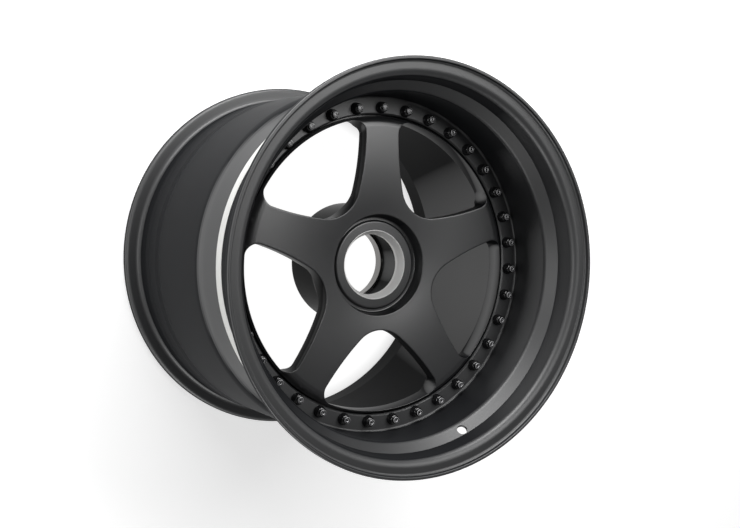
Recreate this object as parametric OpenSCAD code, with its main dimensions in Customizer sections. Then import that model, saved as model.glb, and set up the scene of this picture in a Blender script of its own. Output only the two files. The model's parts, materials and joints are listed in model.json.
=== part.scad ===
// Split rim wheel for racing: two spun rim halves, a forged five-spoke centre and a ring of rim bolts.
// It lies flat on its inboard flange, with the outboard face up.
// Origin: on the wheel's axis, midway between the two flanges. +Z points outboard, +Y along spoke 1.

/* [Rim] */
// Diameter of the bead seats at the foot of each flange
bead_seat_d = 405.6; // [400:0.1:412]
// Distance between the two bead walls
seat_span = 330.2; // [315:0.1:350]
// Slope of the bead seats, in degrees
seat_taper = 5; // [4:0.5:6]
// Wall under the bead seats
seat_wall = 2.5; // [2:0.1:3]
// Diameter of the valve hole
valve_hole_d = 11.5; // [8.3:0.1:12]
// Angle of the valve hole about the axis, from +X
valve_angle = -68.9; // [-90:0.1:-45]

/* [Flanges] */
// Height of each flange above its bead seat
flange_h = 17.5; // [16:0.1:19]
// Width of each flange, from its lip to its bead wall
flange_w = 10.4; // [9.5:0.1:12]
// Wall of the flanges
flange_wall = 4.6; // [4:0.1:5.2]
// Width of the crest that runs round each flange
crest_w = 3.6; // [3:0.1:4.5]
// Outside radius of the curl behind the crest
curl_r = 8; // [6:0.1:8.4]
// Fillet at the foot of the bead wall, under the tyre's bead
heel_r = 6.5; // [4:0.1:8]
// Fillet between the flange's inside face and the seat
flange_root_r = 8.5; // [5:0.1:10]
// Hollow between the flange's inside face and the crest
crest_root_r = 4.2; // [2:0.1:5]

/* [Outer half] */
// Width of the outer half, from its lip to the joint plane
outer_w = 105; // [95:0.1:120]
// How far the drop lies inside the bead seat
drop_below = 10.8; // [9:0.1:12]
// Wall of the drop
drop_wall = 4; // [3.5:0.1:5]
// Depth behind the lip where the seat's underside ends in a crisp edge
edge_depth = 31.7; // [28:0.1:36]
// Depth behind the lip where the slope meets the drop
drop_depth = 43; // [42:0.1:50]
// Depth behind the lip of the bead-retaining hump
hump_depth = 33; // [31:0.1:36]
// Height of the hump over the end of the bead seat
hump_h = 2.2; // [1:0.1:3]

/* [Inner half] */
// How far the land next to the joint plane lies inside the bead seat
step_below = 14; // [12:0.1:16]
// How far the barrel lies inside the bead seat where it leaves the slope
barrel_below = 1.6; // [1:0.1:3]
// Gain of the barrel's outside radius towards the inboard end
barrel_flare = 1.4; // [0:0.1:2]
// Wall of the barrel
barrel_wall = 3.8; // [3:0.1:5]
// Length of the slope between the joint and the barrel
slope_w = 23.5; // [18:0.1:32]
// Width of the plain land between the joint and the slope
step_w = 7.4; // [6:0.1:12]
// Depth ahead of the back lip of the inboard hump
back_hump_depth = 39.5; // [37:0.1:44]
// Height of the inboard hump over the end of its bead seat
back_hump_h = 2.7; // [1:0.1:3.5]
// Width of the raised ledge beside the inboard hump
ledge_w = 32; // [20:0.1:40]
// Depth of the shallow valley between the ledge and the barrel
valley_depth = 1.4; // [0.5:0.1:2]

/* [Bolt rings] */
// Thickness of the bolt ring on each rim half
ring_t = 6.5; // [5:0.1:8]
// Distance from the outside of the drop in to the bolt circle
bolt_inset = 16.5; // [15:0.1:18]
// Distance from the bolt circle in to the bore of both rings
ring_inside = 7.5; // [6.5:0.1:9]
// Chamfer on the visible edge of the outer ring's bore
ring_break = 1.7; // [0.5:0.1:2.5]
// Number of bolts beside each spoke
bolts_per_spoke = 7; // [5:1:7]
// Diameter of the bolts
bolt_d = 7; // [6:0.1:8]
// Clearance of the bolts in their holes, on the diameter
bolt_fit = 0.4; // [0.2:0.1:0.8]
// Film of paint under the nuts and the washers
paint_film = 0.02; // [0.01:0.01:0.1]

/* [Joint sealant] */
// Height of the sealant over the drop
seal_h = 0.9; // [0.5:0.1:1.5]
// Width of the sealant on the outer half, ahead of the joint plane
seal_front_w = 15; // [8:0.1:20]
// Film between the sealant and the rim halves
seal_gap = 0.05; // [0.02:0.01:0.1]

/* [Wheel centre] */
// Gap between the centre's hoop and the bolt rings
hoop_gap = 1.8; // [0.5:0.1:2.5]
// Thickness of the hoop where a window meets it
hoop_wall = 2.4; // [2:0.1:4]
// How far the hoop stands ahead of the joint plane
hoop_ahead = 5.8; // [4:0.1:8]
// Thickness of the bolt flange behind the rings
centre_flange_t = 8; // [6:0.1:10]
// Gap between the centre's bolt flange and the shell around it
register_gap = 0.3; // [0.2:0.1:1]
// How far the spokes' faces stand ahead of the joint plane at their outer ends
face_ahead = 11.4; // [9:0.1:14]
// Distance from the end of a spoke's face to the hoop's outside
face_inset = 10.7; // [9:0.1:14]
// Slope of the face at the outer end of a spoke, in degrees
face_tilt = 0.57; // [0:0.01:1]
// Radius to which the face dishes towards the hub
face_dish_r = 975; // [800:5:1500]
// Slope at which the spoke's end starts to roll off, in degrees
roll_tilt = 8; // [4:1:20]
// Radius of that roll-off
roll_r = 15; // [8:0.5:18]
// Depth of a spoke at its outer end
spoke_t = 17; // [14:0.1:20]
// Gain of the spoke's depth at its inner end
spoke_t_gain = 1; // [0:0.1:3]
// Fillet between the spokes' backs and the hub
hub_root_r = 30; // [15:0.5:35]

/* [Windows] */
// Half of a spoke's width at its outer end
spoke_half_w = 21; // [18:0.1:24]
// Length of a spoke's parallel sides, up to the fillets of the windows
spoke_parallel_w = 1.9; // [0.5:0.1:6]
// Radius of a spoke's curved sides
spoke_side_r = 280; // [240:1:320]
// Distance from the hub's outside to the inner end of a window
window_inset = 3.3; // [2:0.1:8]
// Fillet in the outer corners of a window
window_corner_r = 13; // [8:0.1:14]

/* [Hub] */
// Wall of the hub outside the drive bushes
hub_rim = 5; // [3:0.1:8]
// Distance from the joint plane back to the hub's rear face
hub_back = 79; // [70:0.1:90]
// Diameter of the pilot bore in the rear face
pilot_d = 82; // [80:0.1:84]
// Length of the pilot bore
pilot_w = 12.5; // [8:0.1:16]
// Chamfer at the mouth of the pilot bore
pilot_break = 2; // [1:0.1:3]
// How far the bore ahead of the pilot is relieved
relief_step = 2.5; // [1.5:0.1:4]
// Thickness of that shoulder
shoulder_t = 4; // [3:0.1:6]
// Distance from the joint plane back to the boss around the nut seat ring
boss_back = 6; // [4:0.1:9]
// Width of the boss face round the nut seat ring
boss_w = 8.4; // [6:0.1:10]
// Width of the small step between the boss face and the groove
boss_step_w = 3; // [2:0.1:4]
// Width of the round groove's floor
groove_w = 3.3; // [2:0.1:5]
// Depth of that groove below the boss face
groove_depth = 2.6; // [1.5:0.1:4]
// Run of the recess wall, from the groove's floor out to the spokes' faces
recess_run = 3.6; // [2.5:0.1:5]

/* [Nut seat ring] */
// Length of the nut seat ring
seat_ring_w = 13; // [11:0.1:15]
// Diameter of the plain bore behind the cone
seat_bore_d = 68.6; // [64:0.1:70]
// Gain of the cone's radius from the plain bore to its mouth
seat_cone_rise = 4.3; // [3:0.1:6]
// Plain land round the mouth of the cone
seat_land = 0.6; // [0.4:0.1:1.5]
// Ledge of the hub's shoulder inside the ring's plain bore
shoulder_relief = 0.5; // [0.2:0.1:1]
// Length of the cone
seat_cone_w = 8.5; // [6:0.1:10]
// Clearance of the ring in its pocket, on the diameter
seat_ring_fit = 0.1; // [0.06:0.01:0.2]

/* [Drive bushes] */
// Wall between the relieved bore and the drive bushes
bush_inset = 2.5; // [2:0.1:5]
// Outside diameter of a drive bush
bush_d = 19; // [18:0.1:20]
// Bore of a drive bush
bush_bore_d = 14.2; // [12:0.1:15]
// Length of a drive bush
bush_w = 20; // [14:0.1:24]
// Clearance of a bush in its pocket, on the diameter
bush_fit = 0.06; // [0.04:0.01:0.1]

/* [Rim fasteners] */
// Diameter of a nut's round flange
nut_d = 13.4; // [11:0.1:14]
// Height of a nut
nut_h = 8; // [6:0.1:9]
// Diameter at the top of a nut
nut_top_d = 9; // [8.5:0.1:10]
// Length of bolt that stands out of its nut
bolt_tip = 3; // [1:0.1:4]
// Diameter of a washer
washer_d = 12.4; // [11:0.1:12.8]
// Thickness of a washer
washer_t = 1.2; // [0.8:0.1:2]
// Size across the flats of a bolt's twelve-point head
head_flats = 9; // [8:0.1:10]
// Height of a bolt's head, its round flange included
head_h = 7; // [5:0.1:8]

/* [Hidden] */

$fn = 96;
// Turn of each straight step in a rounded corner, in degrees
arc_step = 12;
// The same on the long soft curves of a window
side_step = 4;
// How far a cut runs past the solid that it opens
past = 1;
// Small chamfers on turned edges
edge_break = 0.6;

seat_r = bead_seat_d / 2;
lip_r = seat_r + flange_h;
overall_w = seat_span + 2 * flange_w;
half_w = overall_w / 2;
joint_z = half_w - outer_w;
inner_w = overall_w - outer_w;
flange_face = flange_w - flange_wall;

drop_r = seat_r - drop_below;
bolt_r = drop_r - bolt_inset;
ring_r = bolt_r - ring_inside;
drop_inner_r = drop_r - drop_wall;
joint_break = 1.5;
hole_d = bolt_d + bolt_fit;

hoop_r = ring_r - hoop_gap;
window_outer_r = hoop_r - hoop_wall;
face_end_r = hoop_r - face_inset;
relief_r = pilot_d / 2 + relief_step;
drive_r = relief_r + bush_inset + bush_d / 2;
hub_r = drive_r + bush_d / 2 + hub_rim;
// Spokes, each with its own group of rim fasteners and its own drive bush
spokes = 5;
sector = 360 / spokes;

// Radius of a bead seat, and of its underside, at a depth behind the lip
function seat_at(depth) = seat_r - (depth - flange_w) * tan(seat_taper);
function under_seat(depth) = seat_at(depth) - seat_wall;

// Barrel, slope and foot of the inner half
barrel_r = seat_r - barrel_below;
step_r = seat_r - step_below;
barrel_inner_r = barrel_r - barrel_wall;
slope_angle = atan((barrel_r - step_r) / slope_w);
slope_foot = inner_w - step_w;
slope_top = slope_foot - slope_w;
foot_inner_r = step_r + (ring_t - step_w) * tan(slope_angle) - barrel_wall / cos(slope_angle);
bend_depth = flange_w + (seat_r - seat_wall - barrel_inner_r) / tan(seat_taper);
slope_inner_top = inner_w - ring_t - (barrel_inner_r - foot_inner_r) / tan(slope_angle);
foot_fillet = 1.5;
foot_run = foot_fillet * tan((90 - slope_angle) / 2);
centre_flange_r = foot_inner_r - foot_run - register_gap;

// Unit vector along v, and v turned about the origin
function unit(v) = v / norm(v);
function turned(v, angle) = [v.x * cos(angle) - v.y * sin(angle), v.x * sin(angle) + v.y * cos(angle)];

// Longest run that a fillet at corner p may take of its edge to corner q
function room(p, q) = norm([q.x - p.x, q.y - p.y]) * (q[2] == 0 ? 0.98 : 0.49);

// Points of corner p = [x, y, fillet radius], between its neighbours a and b
function fillet(a, p, b) =
    p[2] == 0 ? [[p.x, p.y]] :
    let (
        corner = [p.x, p.y],
        u = unit([a.x, a.y] - corner),
        v = unit([b.x, b.y] - corner),
        half = acos(u * v) / 2,
        run = min(p[2] / tan(half), room(p, a), room(p, b)),
        centre = corner + unit(u + v) * run / cos(half),
        start = corner + u * run - centre,
        turn = (180 - 2 * half) * sign(cross(start, corner + v * run - centre)),
        steps = max(2, ceil(abs(turn) / arc_step))
    )
    [for (i = [0 : steps]) centre + turned(start, turn * i / steps)];

// Closed outline through corners, each rounded by its own fillet
function rounded(corners) =
    let (n = len(corners))
    [for (i = [0 : n - 1]) each fillet(corners[(i + n - 1) % n], corners[i], corners[(i + 1) % n])];

// Corners measured back from the outer lip, the back lip and the joint plane, turned into heights
function behind_lip(corners) = [for (p = corners) [p.x, half_w - p.y, p[2]]];
function ahead_of_back(corners) = [for (p = corners) [p.x, p.y - half_w, p[2]]];
function behind_joint(corners) = [for (p = corners) [p.x, joint_z - p.y, p[2]]];

// Flange that both halves share, from under its bead seat, over the crest, to the seat's heel
flange = [
    [under_seat(flange_face), flange_face, flange_root_r],
    [lip_r - crest_w, flange_face, crest_root_r],
    [lip_r - crest_w, 0, crest_w / 4],
    [lip_r, 0, crest_w / 2],
    [lip_r, flange_w, curl_r],
    [seat_r, flange_w, heel_r]
];

hump_lead = 3.5;
hump_fillet = 2;
drop_fillet = 8;
ring_root_r = 2.5;

outer_half_corners = concat(
    [
        [ring_r, outer_w, 0],
        [ring_r, outer_w - ring_t + ring_break, 0],
        [ring_r + ring_break, outer_w - ring_t, 0],
        [drop_inner_r, outer_w - ring_t, ring_root_r],
        [drop_inner_r, drop_depth, drop_fillet],
        [under_seat(edge_depth), edge_depth, edge_break]
    ],
    flange,
    [
        [seat_at(hump_depth - hump_lead), hump_depth - hump_lead, hump_fillet],
        [seat_at(hump_depth - hump_lead) + hump_h, hump_depth, hump_fillet],
        [drop_r, drop_depth + past, drop_fillet / 2],
        [drop_r, outer_w - joint_break, 0],
        [drop_r - joint_break, outer_w, 0]
    ]
);

// Soft steps on the outside of the inner half, measured from its back lip
hump_run = 9;
ledge_r = seat_at(back_hump_depth - hump_run) + back_hump_h - 0.9;
ledge_start = back_hump_depth + hump_run;
ledge_end = back_hump_depth + ledge_w;
valley_at = ledge_end + hump_run;
valley_end = valley_at + hump_run;
soft_fillet = 5;

inner_half_corners = concat(
    [
        [ring_r, inner_w, 0],
        [ring_r, inner_w - ring_t, 0],
        [foot_inner_r, inner_w - ring_t, foot_fillet],
        [barrel_inner_r, slope_inner_top, soft_fillet],
        [barrel_inner_r, bend_depth, soft_fillet]
    ],
    flange,
    [
        [seat_at(back_hump_depth - hump_run), back_hump_depth - hump_run, hump_fillet],
        [seat_at(back_hump_depth - hump_run) + back_hump_h, back_hump_depth, hump_fillet],
        [ledge_r, ledge_start, soft_fillet],
        [ledge_r, ledge_end, soft_fillet],
        [ledge_r - valley_depth, valley_at, soft_fillet],
        [barrel_r + barrel_flare, valley_end, soft_fillet],
        [barrel_r, slope_top, soft_fillet],
        [step_r, slope_foot, hump_fillet],
        [step_r, inner_w - joint_break, 0],
        [step_r - joint_break, inner_w, 0]
    ]
);

// The sealant ends just short of the fillet at the foot of the slope
seal_back_w = step_w - hump_fillet * tan(slope_angle / 2) - 2 * seal_gap;
seal_corners = [
    [drop_r + seal_gap, outer_w - seal_front_w, 0],
    [drop_r + seal_gap + seal_h / 3, outer_w - seal_front_w, 0],
    [drop_r + seal_h, outer_w - seal_front_w + 3, edge_break],
    [drop_r + seal_h, outer_w - joint_break, hump_fillet],
    [step_r + seal_h + seal_gap, outer_w + seal_back_w / 2, soft_fillet],
    [step_r + seal_gap + seal_h / 3, outer_w + seal_back_w, 0],
    [step_r + seal_gap, outer_w + seal_back_w, 0],
    [step_r + seal_gap, outer_w + joint_break, 0],
    [step_r - joint_break + 3 * seal_gap, outer_w + seal_gap, 0],
    [drop_r - joint_break + seal_gap, outer_w + seal_gap, 0],
    [drop_r + seal_gap, outer_w - joint_break + seal_gap, 0]
];

// Distance of a spoke's face behind the joint plane, at radius r
function face_at(r) =
    let (inset = face_end_r - r)
    inset * tan(face_tilt) + inset * inset / (2 * face_dish_r) - face_ahead;
face_steps = 10;
seat_ring_r = seat_bore_d / 2 + seat_cone_rise + seat_land;
pocket_r = seat_ring_r + seat_ring_fit / 2;
shoulder_r = seat_bore_d / 2 + shoulder_relief;
boss_r = seat_ring_r + boss_w;
groove_r = boss_r + boss_step_w;
groove_end_r = groove_r + groove_w;
recess_r = groove_end_r + recess_run;
face_start_r = recess_r + 3;

// Roll-off from the end of a spoke's face to the front edge of the hoop
roll_run = hoop_r - edge_break - face_end_r;
roll_corner = roll_run * 0.6;
spoke_back_r = window_outer_r - 12;
spoke_mid_r = hub_r + hub_root_r + 5;
flange_back = ring_t + centre_flange_t;
flange_root_in_r = window_outer_r - 6;

// Hub levels, behind the joint plane
shoulder_front = boss_back + seat_ring_w;
shoulder_back = shoulder_front + shoulder_t;
pilot_front = hub_back - pilot_break - pilot_w;
relief_fillet = 4;

centre_corners = concat(
    [
        [pilot_d / 2 + pilot_break, hub_back, 0],
        [pilot_d / 2, hub_back - pilot_break, 0],
        [pilot_d / 2, pilot_front, 0],
        [relief_r, pilot_front, 0],
        [relief_r, shoulder_back, relief_fillet],
        [shoulder_r, shoulder_back, 0],
        [shoulder_r, shoulder_front, 0],
        [pocket_r, shoulder_front, 0],
        [pocket_r, boss_back, 0],
        [boss_r, boss_back, edge_break],
        [groove_r - boss_step_w / 3, boss_back + groove_depth / 3, edge_break],
        [groove_r, boss_back + groove_depth, edge_break],
        [groove_end_r, boss_back + groove_depth, 2 * edge_break],
        [recess_r - edge_break, face_at(recess_r), 2 * edge_break]
    ],
    [
        for (i = [0 : face_steps])
            let (r = face_start_r + (face_end_r - face_start_r) * i / face_steps)
            [r, face_at(r), 0]
    ],
    [
        [face_end_r + roll_corner, roll_corner * tan(roll_tilt) - face_ahead, roll_r],
        [hoop_r - edge_break, -hoop_ahead, 0],
        [hoop_r, edge_break - hoop_ahead, 0],
        [hoop_r, ring_t, 0],
        [centre_flange_r - edge_break, ring_t, 0],
        [centre_flange_r, ring_t + edge_break, 0],
        [centre_flange_r, flange_back, 2 * edge_break],
        [flange_root_in_r, flange_back, hump_fillet],
        [spoke_back_r, face_at(spoke_back_r) + spoke_t, 2 * soft_fillet],
        [spoke_mid_r, face_at(spoke_mid_r) + spoke_t + spoke_t_gain, 4 * soft_fillet],
        [hub_r, face_at(hub_r) + spoke_t + spoke_t_gain, hub_root_r],
        [hub_r, hub_back, 2 * edge_break]
    ]
);

// Points of an arc of radius r about c, from angle a to angle b, and the same without its two ends
function arc(c, r, a, b, step) =
    let (steps = max(2, ceil(abs(b - a) / step)))
    [for (i = [0 : steps]) c + r * [cos(a + (b - a) * i / steps), sin(a + (b - a) * i / steps)]];
function inside(points) = [for (i = [1 : len(points) - 2]) points[i]];

// Window between two spokes. Its own frame has the window's middle line along +Y.
half_sector = sector / 2;
window_inner_r = hub_r + window_inset;
corner_reach = window_outer_r - window_corner_r;
corner_x = spoke_half_w + window_corner_r;
corner_centre = [corner_x, sqrt(corner_reach * corner_reach - corner_x * corner_x)];
corner_turn = atan2(corner_centre.x, corner_centre.y);
side_centre = [spoke_half_w + spoke_side_r, corner_centre.y - spoke_parallel_w];
// Where the end arc's centre must lie so that the arc meets both sides smoothly
end_reach = spoke_side_r + window_inner_r;
end_along = side_centre * [sin(half_sector), cos(half_sector)];
end_at = (end_reach * end_reach - side_centre * side_centre) / (2 * (end_reach - end_along));
end_r = end_at - window_inner_r;
end_offset = end_at * [sin(half_sector), cos(half_sector)] - side_centre;
end_turn = atan2(-end_offset.y, -end_offset.x);

// One side of the window, from its inner end to the outer arc, with the spoke along +Y
side_points = concat(
    arc(side_centre, spoke_side_r, 180 + end_turn, 180, side_step),
    arc(corner_centre, window_corner_r, 180, 90 - corner_turn, arc_step)
);
left_side = [for (p = side_points) turned(p, half_sector)];
right_side = [for (i = [len(left_side) - 1 : -1 : 0]) [-left_side[i].x, left_side[i].y]];
outer_turn = half_sector - corner_turn;
end_open = half_sector + end_turn;
window_points = concat(
    left_side,
    inside(arc([0, 0], window_outer_r, 90 + outer_turn, 90 - outer_turn, side_step)),
    right_side,
    inside(arc([0, end_at], end_r, -end_open, end_open - 180, arc_step))
);

module turned_solid(corners) {
    rotate_extrude() polygon(rounded(corners));
}

// Angle of bolt i of the group beside spoke k
function bolt_angle(group, i) =
    90 + (group - 1) * sector + (i - (bolts_per_spoke - 1) / 2) * sector / bolts_per_spoke;

// Puts its children at every bolt of one group, at the height of the joint plane
module at_bolts(group) {
    for (i = [0 : bolts_per_spoke - 1])
        rotate(bolt_angle(group, i)) translate([bolt_r, 0, joint_z]) children();
}

module bolt_holes() {
    for (group = [1 : spokes])
        at_bolts(group) cylinder(d = hole_d, h = 4 * (ring_t + centre_flange_t), center = true);
}

// Hole through the slope of the outer half, square to its surface and a little above its middle
valve_share = 0.4;
valve_depth = edge_depth + (drop_depth - edge_depth) * valve_share;
slope_fall = (under_seat(edge_depth) - drop_inner_r) / (drop_depth - edge_depth);
valve_r = under_seat(edge_depth) - (valve_depth - edge_depth) * slope_fall;

module valve_hole() {
    rotate(valve_angle)
        translate([valve_r, 0, half_w - valve_depth])
            rotate([0, 90 + atan(slope_fall), 0])
                cylinder(d = valve_hole_d, h = 8 * drop_wall, center = true);
}

module outer_rim_half() {
    color("#26282a")
        difference() {
            turned_solid(behind_lip(outer_half_corners));
            bolt_holes();
            valve_hole();
        }
}

module inner_rim_half() {
    color("#232527")
        difference() {
            turned_solid(ahead_of_back(inner_half_corners));
            bolt_holes();
        }
}

module windows() {
    for (k = [0 : spokes - 1])
        rotate((k + 0.5) * sector)
            translate([0, 0, joint_z - hub_back])
                linear_extrude(hub_back + face_ahead + past) polygon(window_points);
}

// Angle and place of drive bush k, in the hub's rear face
module at_bush(k) {
    rotate(90 + (k - 1) * sector)
        translate([drive_r, 0, joint_z - hub_back]) children();
}

module wheel_centre() {
    color("#2a2c2e")
        difference() {
            turned_solid(behind_joint(centre_corners));
            windows();
            bolt_holes();
            for (k = [1 : spokes])
                at_bush(k) translate([0, 0, -past]) cylinder(d = bush_d + bush_fit, h = bush_w + past);
        }
}

module joint_sealant() {
    color("#d8d8d2") turned_solid(behind_lip(seal_corners));
}

seat_ring_corners = [
    [seat_ring_r, boss_back, 0],
    [seat_ring_r, shoulder_front - edge_break, 0],
    [seat_ring_r - edge_break, shoulder_front, 0],
    [seat_bore_d / 2, shoulder_front, 0],
    [seat_bore_d / 2, boss_back + seat_cone_w, 0],
    [seat_ring_r - seat_land, boss_back, 0]
];

module nut_seat_ring() {
    color("silver") turned_solid(behind_joint(seat_ring_corners));
}

bush_corners = [
    [bush_bore_d / 2 + edge_break, 0, 0],
    [bush_bore_d / 2, edge_break, 0],
    [bush_bore_d / 2, bush_w, 0],
    [bush_d / 2 - edge_break, bush_w, 0],
    [bush_d / 2, bush_w - edge_break, 0],
    [bush_d / 2, 0, 0]
];

module drive_bush(k) {
    color("gray") at_bush(k) turned_solid(bush_corners);
}

// Levels of the fasteners, measured from the joint plane
nut_seat_z = ring_t + paint_film;
washer_z = -flange_back - paint_film - washer_t;
head_flange_h = 1.5;
head_flange_d = washer_d;
dimple_d = bolt_d * 0.55;
dimple_h = 1;
tip_z = nut_seat_z + nut_h + bolt_tip;

module twelve_points(flats, h) {
    for (turn = [0, 30])
        rotate(turn) cylinder(d = flats / cos(30), h = h, $fn = 6);
}

shank_corners = [
    [0, washer_z - edge_break, 0],
    [bolt_d / 2, washer_z - edge_break, 0],
    [bolt_d / 2, tip_z - edge_break, 0],
    [bolt_d / 2 - edge_break, tip_z, 0],
    [dimple_d / 2, tip_z, 0],
    [dimple_d / 4, tip_z - dimple_h, 0],
    [0, tip_z - dimple_h, 0]
];

module rim_bolts(group) {
    color("#17181a")
        at_bolts(group)
            union() {
                turned_solid(shank_corners);
                translate([0, 0, washer_z - head_flange_h]) cylinder(d = head_flange_d, h = head_flange_h);
                translate([0, 0, washer_z - head_h]) twelve_points(head_flats, head_h - edge_break);
            }
}

nut_bore_r = bolt_d / 2 + bolt_fit / 4;
nut_corners = [
    [nut_bore_r, nut_seat_z, 0],
    [nut_d / 2, nut_seat_z, 0],
    [nut_d / 2, nut_seat_z + 2 * edge_break, edge_break],
    [nut_d / 2 - edge_break, nut_seat_z + nut_h / 2, nut_h / 2],
    [nut_top_d / 2 + edge_break, nut_seat_z + nut_h - edge_break, nut_h / 4],
    [nut_top_d / 2 - edge_break, nut_seat_z + nut_h, 0],
    [nut_bore_r, nut_seat_z + nut_h, 0]
];

module rim_nuts(group) {
    color("#17181a") at_bolts(group) turned_solid(nut_corners);
}

module rim_washers(group) {
    color("#3a3c3e")
        at_bolts(group)
            difference() {
                translate([0, 0, washer_z]) cylinder(d = washer_d, h = washer_t);
                translate([0, 0, washer_z - past]) cylinder(d = hole_d, h = washer_t + 2 * past);
            }
}

outer_rim_half();
inner_rim_half();
wheel_centre();
joint_sealant();
nut_seat_ring();
drive_bush(1);  // drive_bush_1
drive_bush(2);  // drive_bush_2
drive_bush(3);  // drive_bush_3
drive_bush(4);  // drive_bush_4
drive_bush(5);  // drive_bush_5
rim_bolts(1);  // rim_bolts_1
rim_bolts(2);  // rim_bolts_2
rim_bolts(3);  // rim_bolts_3
rim_bolts(4);  // rim_bolts_4
rim_bolts(5);  // rim_bolts_5
rim_nuts(1);  // rim_nuts_1
rim_nuts(2);  // rim_nuts_2
rim_nuts(3);  // rim_nuts_3
rim_nuts(4);  // rim_nuts_4
rim_nuts(5);  // rim_nuts_5
rim_washers(1);  // rim_washers_1
rim_washers(2);  // rim_washers_2
rim_washers(3);  // rim_washers_3
rim_washers(4);  // rim_washers_4
rim_washers(5);  // rim_washers_5
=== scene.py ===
"""Looks of a split rim wheel: two spun rim halves, a forged five-spoke centre and its ring of rim bolts.

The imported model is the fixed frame. The shells, the centre, the sealant, the nut seat ring and the rim fasteners are
rebuilt here with finer rounds and edge breaks, in the same places, and the drive bushes keep their own solids.
All sizes are in millimetres in the frame of the part: +Z outboard along the axis, +Y along spoke 1.
"""

import json
import logging
import math
from collections.abc import Iterable, Sequence
from dataclasses import dataclass, field
from enum import Enum

import bmesh
import bpy
import numpy as np
from mathutils import Matrix, Vector

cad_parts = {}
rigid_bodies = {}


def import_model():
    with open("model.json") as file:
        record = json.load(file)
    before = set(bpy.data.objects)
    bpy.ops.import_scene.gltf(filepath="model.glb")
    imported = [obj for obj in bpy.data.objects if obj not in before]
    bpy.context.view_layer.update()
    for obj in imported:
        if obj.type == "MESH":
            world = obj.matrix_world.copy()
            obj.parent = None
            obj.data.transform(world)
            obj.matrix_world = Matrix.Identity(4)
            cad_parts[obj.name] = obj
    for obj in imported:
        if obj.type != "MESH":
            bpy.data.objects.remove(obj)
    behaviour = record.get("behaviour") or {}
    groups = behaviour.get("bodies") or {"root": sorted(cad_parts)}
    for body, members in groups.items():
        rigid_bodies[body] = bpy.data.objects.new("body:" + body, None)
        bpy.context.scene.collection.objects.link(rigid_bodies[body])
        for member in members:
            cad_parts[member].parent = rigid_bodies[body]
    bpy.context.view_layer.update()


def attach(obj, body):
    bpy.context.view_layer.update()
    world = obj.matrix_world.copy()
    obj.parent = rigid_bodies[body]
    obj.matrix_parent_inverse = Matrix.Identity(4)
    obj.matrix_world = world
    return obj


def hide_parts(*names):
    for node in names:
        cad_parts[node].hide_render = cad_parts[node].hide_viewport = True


LOG = logging.getLogger("split_rim_wheel")
MM = 0.001
BODY = "root"

Point = tuple[float, float]
Place = tuple[float, float, float]
Corner = tuple[float, float, float]
Piece = bpy.types.Object
Material = bpy.types.Material
Node = bpy.types.Node
Socket = bpy.types.NodeSocket
Tree = bpy.types.NodeTree


class Slot(Enum):
    """Material slots of the record, listed beside the pieces in main; nothing in the code reads them."""

    RIM = "rim_black"
    CENTRE = "centre_black"
    SEALANT = "sealant"
    BARE = "bare_steel"
    FASTENER = "fastener_black"


@dataclass(frozen=True)
class Joint:
    """Sizes that more than one piece of the wheel is built to."""

    lip_r: float = 220.3
    seat_r: float = 202.8
    seat_taper: float = math.tan(math.radians(5.0))
    seat_wall: float = 2.5
    flange_w: float = 10.4
    flange_wall: float = 4.6
    crest_w: float = 3.6
    curl_r: float = 8.0
    heel_r: float = 6.5
    root_r: float = 8.5
    crest_root_r: float = 4.2
    half_w: float = 175.5
    outer_w: float = 105.0
    ring_r: float = 168.0
    ring_t: float = 6.5
    bolt_r: float = 175.5
    bolt_d: float = 7.0
    hole_d: float = 7.4
    joint_break: float = 1.5
    drop_r: float = 192.0
    drop_wall: float = 4.0
    step_r: float = 188.8
    step_w: float = 7.4
    slope_w: float = 23.5
    barrel_r: float = 201.2
    barrel_wall: float = 3.8
    centre_flange_t: float = 8.0
    film: float = 0.02

    @property
    def joint_z(self) -> float:
        """Height of the plane where the two halves meet."""
        return self.half_w - self.outer_w

    @property
    def overall_w(self) -> float:
        """Distance between the two lips."""
        return 2 * self.half_w

    @property
    def inner_w(self) -> float:
        """Distance from the joint plane to the back lip."""
        return self.overall_w - self.outer_w

    @property
    def slope_angle(self) -> float:
        """Slope of the inner half's shoulder, in radians."""
        return math.atan((self.barrel_r - self.step_r) / self.slope_w)

    @property
    def foot_r(self) -> float:
        """Inside radius at the foot of that slope, behind the bolt ring."""
        rise = (self.ring_t - self.step_w) * math.tan(self.slope_angle)
        return self.step_r + rise - self.barrel_wall / math.cos(self.slope_angle)

    def seat_at(self, depth: float) -> float:
        """Radius of a bead seat at a depth behind its lip."""
        return self.seat_r - (depth - self.flange_w) * self.seat_taper

    def under_seat(self, depth: float) -> float:
        """Radius of the underside of a bead seat at a depth behind its lip."""
        return self.seat_at(depth) - self.seat_wall

    def flange(self) -> list[Corner]:
        """Corners of a flange, from under its seat over the crest to the seat's heel."""
        face = self.flange_w - self.flange_wall
        crest_in = self.lip_r - self.crest_w
        return [
            (self.under_seat(face), face, self.root_r),
            (crest_in, face, self.crest_root_r),
            (crest_in, 0.0, self.crest_w / 4),
            (self.lip_r, 0.0, self.crest_w / 2),
            (self.lip_r, self.flange_w, self.curl_r),
            (self.seat_r, self.flange_w, self.heel_r),
        ]


SIZES = Joint()
RIM_BOLTS = 35
GROUPS = 5
PER_GROUP = 7
RIM_STEPS = 288
HALF_SECTOR = 180.0 / GROUPS


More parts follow.
